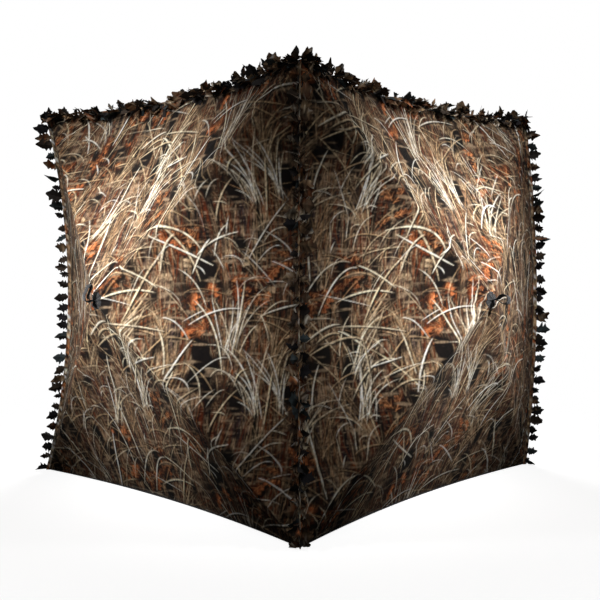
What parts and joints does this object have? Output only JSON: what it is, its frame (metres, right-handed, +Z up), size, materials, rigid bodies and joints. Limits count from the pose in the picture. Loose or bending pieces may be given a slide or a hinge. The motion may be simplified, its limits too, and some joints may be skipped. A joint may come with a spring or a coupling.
{
  "type": "pop up ground blind",
  "caption": "Free-standing camouflage hide: four fabric walls and a roof, each pushed out by a hub with sprung poles; leafy seams, pull loops, zipped door and net windows.",
  "frame": {"origin": "on the ground, at the middle of the blind's footprint", "axes": "+Z up; the front wall faces -Y, the right wall +X, the back wall with the door +Y"},
  "size_m": [2.183, 2.183, 1.7915],
  "materials": {
    "camo_cloth": "printed reed and dead grass camouflage on a dull plain-weave polyester, with a dark back coating",
    "roof_cloth": "the same printed cloth as the walls",
    "leaf_trim": "die-cut leaf strips, charcoal with brown and rust",
    "corner_pocket": "black coated webbing",
    "hub_plastic": "moulded black nylon",
    "ring_steel": "zinc-plated wire",
    "pull_webbing": "black ribbed webbing",
    "fibreglass": "black pultruded fibreglass rod, satin",
    "window_net": "black see-through net",
    "zip_metal": "black enamelled zinc with a cord pull",
    "zip_tape": "black woven tape with a nylon coil"
  },
  "bodies": {
    "root": {"front_wall_cloth": "camo_cloth", "right_wall_cloth": "camo_cloth", "back_wall_cloth": "camo_cloth", "left_wall_cloth": "camo_cloth", "roof_cloth": "roof_cloth", "front_left_seam_trim": "leaf_trim", "front_left_lower_pocket": "corner_pocket", "front_left_upper_pocket": "corner_pocket", "front_right_seam_trim": "leaf_trim", "front_right_lower_pocket": "corner_pocket", "front_right_upper_pocket": "corner_pocket", "back_right_seam_trim": "leaf_trim", "back_right_lower_pocket": "corner_pocket", "back_right_upper_pocket": "corner_pocket", "back_left_seam_trim": "leaf_trim", "back_left_lower_pocket": "corner_pocket", "back_left_upper_pocket": "corner_pocket", "roof_seam_trim": "leaf_trim"},
    "front_hub": {"front_hub_crown": "hub_plastic", "front_pivot_ring": "ring_steel", "front_pull_loop": "pull_webbing"},
    "front_pole_upper_left": {"front_pole_upper_left": "fibreglass"},
    "front_pole_upper_right": {"front_pole_upper_right": "fibreglass"},
    "front_pole_lower_left": {"front_pole_lower_left": "fibreglass"},
    "front_pole_lower_right": {"front_pole_lower_right": "fibreglass"},
    "right_hub": {"right_hub_crown": "hub_plastic", "right_pivot_ring": "ring_steel", "right_pull_loop": "pull_webbing"},
    "right_pole_upper_left": {"right_pole_upper_left": "fibreglass"},
    "right_pole_upper_right": {"right_pole_upper_right": "fibreglass"},
    "right_pole_lower_left": {"right_pole_lower_left": "fibreglass"},
    "right_pole_lower_right": {"right_pole_lower_right": "fibreglass"},
    "back_hub": {"back_hub_crown": "hub_plastic", "back_pivot_ring": "ring_steel", "back_pull_loop": "pull_webbing"},
    "back_pole_upper_left": {"back_pole_upper_left": "fibreglass"},
    "back_pole_upper_right": {"back_pole_upper_right": "fibreglass"},
    "back_pole_lower_left": {"back_pole_lower_left": "fibreglass"},
    "back_pole_lower_right": {"back_pole_lower_right": "fibreglass"},
    "left_hub": {"left_hub_crown": "hub_plastic", "left_pivot_ring": "ring_steel", "left_pull_loop": "pull_webbing"},
    "left_pole_upper_left": {"left_pole_upper_left": "fibreglass"},
    "left_pole_upper_right": {"left_pole_upper_right": "fibreglass"},
    "left_pole_lower_left": {"left_pole_lower_left": "fibreglass"},
    "left_pole_lower_right": {"left_pole_lower_right": "fibreglass"},
    "roof_hub": {"roof_hub_crown": "hub_plastic", "roof_pivot_ring": "ring_steel", "roof_pull_loop": "pull_webbing"},
    "roof_pole_upper_left": {"roof_pole_upper_left": "fibreglass"},
    "roof_pole_upper_right": {"roof_pole_upper_right": "fibreglass"},
    "roof_pole_lower_left": {"roof_pole_lower_left": "fibreglass"},
    "roof_pole_lower_right": {"roof_pole_lower_right": "fibreglass"},
    "back_window": {"back_window_net": "window_net"},
    "back_window_flap": {"back_window_flap": "camo_cloth"},
    "left_window": {"left_window_net": "window_net"},
    "left_window_flap": {"left_window_flap": "camo_cloth"},
    "back_door_frame": {"back_door_zip": "zip_tape"},
    "back_door": {"back_door": "camo_cloth"},
    "back_door_zip_slider": {"back_door_zip_slider": "zip_metal"}
  },
  "joints": [
    {"name": "front_hub_slide", "type": "slide", "parent": "root", "child": "front_hub", "axis": [0, -1, 0], "range_m": [-0.516, 0], "deforming": ["front_wall_cloth"]},
    {"name": "front_upper_left_pole_hinge", "type": "hinge", "parent": "front_hub", "child": "front_pole_upper_left", "pos_m": [-0.0153, -0.99, 0.79081], "axis": [-0.7186, 0, -0.6954], "range_deg": [-27.6, 0.5]},
    {"name": "front_upper_right_pole_hinge", "type": "hinge", "parent": "front_hub", "child": "front_pole_upper_right", "pos_m": [0.0153, -0.99, 0.79081], "axis": [-0.7186, 0, 0.6954], "range_deg": [-27.6, 0.5]},
    {"name": "front_lower_left_pole_hinge", "type": "hinge", "parent": "front_hub", "child": "front_pole_lower_left", "pos_m": [-0.0153, -0.99, 0.75919], "axis": [0.7186, 0, -0.6954], "range_deg": [-27.6, 0.5]},
    {"name": "front_lower_right_pole_hinge", "type": "hinge", "parent": "front_hub", "child": "front_pole_lower_right", "pos_m": [0.0153, -0.99, 0.75919], "axis": [0.7186, 0, 0.6954], "range_deg": [-27.6, 0.5]},
    {"name": "right_hub_slide", "type": "slide", "parent": "root", "child": "right_hub", "axis": [1, 0, 0], "range_m": [-0.516, 0], "deforming": ["right_wall_cloth"]},
    {"name": "right_upper_left_pole_hinge", "type": "hinge", "parent": "right_hub", "child": "right_pole_upper_left", "pos_m": [0.99, -0.0153, 0.79081], "axis": [0, -0.7186, -0.6954], "range_deg": [-27.6, 0.5]},
    {"name": "right_upper_right_pole_hinge", "type": "hinge", "parent": "right_hub", "child": "right_pole_upper_right", "pos_m": [0.99, 0.0153, 0.79081], "axis": [0, -0.7186, 0.6954], "range_deg": [-27.6, 0.5]},
    {"name": "right_lower_left_pole_hinge", "type": "hinge", "parent": "right_hub", "child": "right_pole_lower_left", "pos_m": [0.99, -0.0153, 0.75919], "axis": [0, 0.7186, -0.6954], "range_deg": [-27.6, 0.5]},
    {"name": "right_lower_right_pole_hinge", "type": "hinge", "parent": "right_hub", "child": "right_pole_lower_right", "pos_m": [0.99, 0.0153, 0.75919], "axis": [0, 0.7186, 0.6954], "range_deg": [-27.6, 0.5]},
    {"name": "back_hub_slide", "type": "slide", "parent": "root", "child": "back_hub", "axis": [0, 1, 0], "range_m": [-0.516, 0], "deforming": ["back_wall_cloth"]},
    {"name": "back_upper_left_pole_hinge", "type": "hinge", "parent": "back_hub", "child": "back_pole_upper_left", "pos_m": [0.0153, 0.99, 0.79081], "axis": [0.7186, 0, -0.6954], "range_deg": [-27.6, 0.5]},
    {"name": "back_upper_right_pole_hinge", "type": "hinge", "parent": "back_hub", "child": "back_pole_upper_right", "pos_m": [-0.0153, 0.99, 0.79081], "axis": [0.7186, 0, 0.6954], "range_deg": [-27.6, 0.5]},
    {"name": "back_lower_left_pole_hinge", "type": "hinge", "parent": "back_hub", "child": "back_pole_lower_left", "pos_m": [0.0153, 0.99, 0.75919], "axis": [-0.7186, 0, -0.6954], "range_deg": [-27.6, 0.5]},
    {"name": "back_lower_right_pole_hinge", "type": "hinge", "parent": "back_hub", "child": "back_pole_lower_right", "pos_m": [-0.0153, 0.99, 0.75919], "axis": [-0.7186, 0, 0.6954], "range_deg": [-27.6, 0.5]},
    {"name": "left_hub_slide", "type": "slide", "parent": "root", "child": "left_hub", "axis": [-1, 0, 0], "range_m": [-0.516, 0], "deforming": ["left_wall_cloth"]},
    {"name": "left_upper_left_pole_hinge", "type": "hinge", "parent": "left_hub", "child": "left_pole_upper_left", "pos_m": [-0.99, 0.0153, 0.79081], "axis": [0, 0.7186, -0.6954], "range_deg": [-27.6, 0.5]},
    {"name": "left_upper_right_pole_hinge", "type": "hinge", "parent": "left_hub", "child": "left_pole_upper_right", "pos_m": [-0.99, -0.0153, 0.79081], "axis": [0, 0.7186, 0.6954], "range_deg": [-27.6, 0.5]},
    {"name": "left_lower_left_pole_hinge", "type": "hinge", "parent": "left_hub", "child": "left_pole_lower_left", "pos_m": [-0.99, 0.0153, 0.75919], "axis": [0, -0.7186, -0.6954], "range_deg": [-27.6, 0.5]},
    {"name": "left_lower_right_pole_hinge", "type": "hinge", "parent": "left_hub", "child": "left_pole_lower_right", "pos_m": [-0.99, -0.0153, 0.75919], "axis": [0, -0.7186, 0.6954], "range_deg": [-27.6, 0.5]},
    {"name": "roof_hub_slide", "type": "slide", "parent": "root", "child": "roof_hub", "axis": [0, 0, 1], "range_m": [-0.316, 0], "deforming": ["roof_cloth"]},
    {"name": "roof_upper_left_pole_hinge", "type": "hinge", "parent": "roof_hub", "child": "roof_pole_upper_left", "pos_m": [-0.01556, 0.01556, 1.69], "axis": [-0.7071, -0.7071, 0], "range_deg": [-17.5, 0.5]},
    {"name": "roof_upper_right_pole_hinge", "type": "hinge", "parent": "roof_hub", "child": "roof_pole_upper_right", "pos_m": [0.01556, 0.01556, 1.69], "axis": [-0.7071, 0.7071, 0], "range_deg": [-17.5, 0.5]},
    {"name": "roof_lower_left_pole_hinge", "type": "hinge", "parent": "roof_hub", "child": "roof_pole_lower_left", "pos_m": [-0.01556, -0.01556, 1.69], "axis": [0.7071, -0.7071, 0], "range_deg": [-17.5, 0.5]},
    {"name": "roof_lower_right_pole_hinge", "type": "hinge", "parent": "roof_hub", "child": "roof_pole_lower_right", "pos_m": [0.01556, -0.01556, 1.69], "axis": [0.7071, 0.7071, 0], "range_deg": [-17.5, 0.5]},
    {"name": "back_window_follow", "type": "hinge", "parent": "root", "child": "back_window", "pos_m": [0, 0.75, 1.5475], "axis": [1, 0, 0], "range_deg": [-37.1, 0.5]},
    {"name": "back_window_flap_hinge", "type": "hinge", "parent": "back_window", "child": "back_window_flap", "pos_m": [0, 0.88212, 1.04439], "axis": [1, 0, 0], "range_deg": [0, 140]},
    {"name": "left_window_follow", "type": "hinge", "parent": "root", "child": "left_window", "pos_m": [-0.75, 0, 1.5475], "axis": [0, 1, 0], "range_deg": [-37.1, 0.5]},
    {"name": "left_window_flap_hinge", "type": "hinge", "parent": "left_window", "child": "left_window_flap", "pos_m": [-0.88212, 0, 1.04439], "axis": [0, 1, 0], "range_deg": [0, 140]},
    {"name": "back_door_follow", "type": "hinge", "parent": "root", "child": "back_door_frame", "pos_m": [-0.7475, 0.75, 0.77375], "axis": [0, 0, 1], "range_deg": [-38.3, 0.5]},
    {"name": "back_door_hinge", "type": "hinge", "parent": "back_door_frame", "child": "back_door", "pos_m": [-0.68133, 0.75095, 0.775], "axis": [0, 0, 1], "range_deg": [0, 95]},
    {"name": "back_door_zip_slide", "type": "slide", "parent": "back_door_frame", "child": "back_door_zip_slider", "axis": [1, 0, 0], "range_m": [0, 0.56]}
  ],
  "couplings": [
    {"joint": "front_upper_left_pole_hinge", "follows": "front_hub_slide", "rad_per_m": 0.9284},
    {"joint": "front_upper_right_pole_hinge", "follows": "front_hub_slide", "rad_per_m": 0.9284},
    {"joint": "front_lower_left_pole_hinge", "follows": "front_hub_slide", "rad_per_m": 0.9284},
    {"joint": "front_lower_right_pole_hinge", "follows": "front_hub_slide", "rad_per_m": 0.9284},
    {"joint": "right_upper_left_pole_hinge", "follows": "right_hub_slide", "rad_per_m": 0.9284},
    {"joint": "right_upper_right_pole_hinge", "follows": "right_hub_slide", "rad_per_m": 0.9284},
    {"joint": "right_lower_left_pole_hinge", "follows": "right_hub_slide", "rad_per_m": 0.9284},
    {"joint": "right_lower_right_pole_hinge", "follows": "right_hub_slide", "rad_per_m": 0.9284},
    {"joint": "back_upper_left_pole_hinge", "follows": "back_hub_slide", "rad_per_m": 0.9284},
    {"joint": "back_upper_right_pole_hinge", "follows": "back_hub_slide", "rad_per_m": 0.9284},
    {"joint": "back_lower_left_pole_hinge", "follows": "back_hub_slide", "rad_per_m": 0.9284},
    {"joint": "back_lower_right_pole_hinge", "follows": "back_hub_slide", "rad_per_m": 0.9284},
    {"joint": "left_upper_left_pole_hinge", "follows": "left_hub_slide", "rad_per_m": 0.9284},
    {"joint": "left_upper_right_pole_hinge", "follows": "left_hub_slide", "rad_per_m": 0.9284},
    {"joint": "left_lower_left_pole_hinge", "follows": "left_hub_slide", "rad_per_m": 0.9284},
    {"joint": "left_lower_right_pole_hinge", "follows": "left_hub_slide", "rad_per_m": 0.9284},
    {"joint": "roof_upper_left_pole_hinge", "follows": "roof_hub_slide", "rad_per_m": 0.9555},
    {"joint": "roof_upper_right_pole_hinge", "follows": "roof_hub_slide", "rad_per_m": 0.9555},
    {"joint": "roof_lower_left_pole_hinge", "follows": "roof_hub_slide", "rad_per_m": 0.9555},
    {"joint": "roof_lower_right_pole_hinge", "follows": "roof_hub_slide", "rad_per_m": 0.9555},
    {"joint": "back_window_follow", "follows": "back_hub_slide", "rad_per_m": 1.2453},
    {"joint": "left_window_follow", "follows": "left_hub_slide", "rad_per_m": 1.2453},
    {"joint": "back_door_follow", "follows": "back_hub_slide", "rad_per_m": 1.2839}
  ]
}
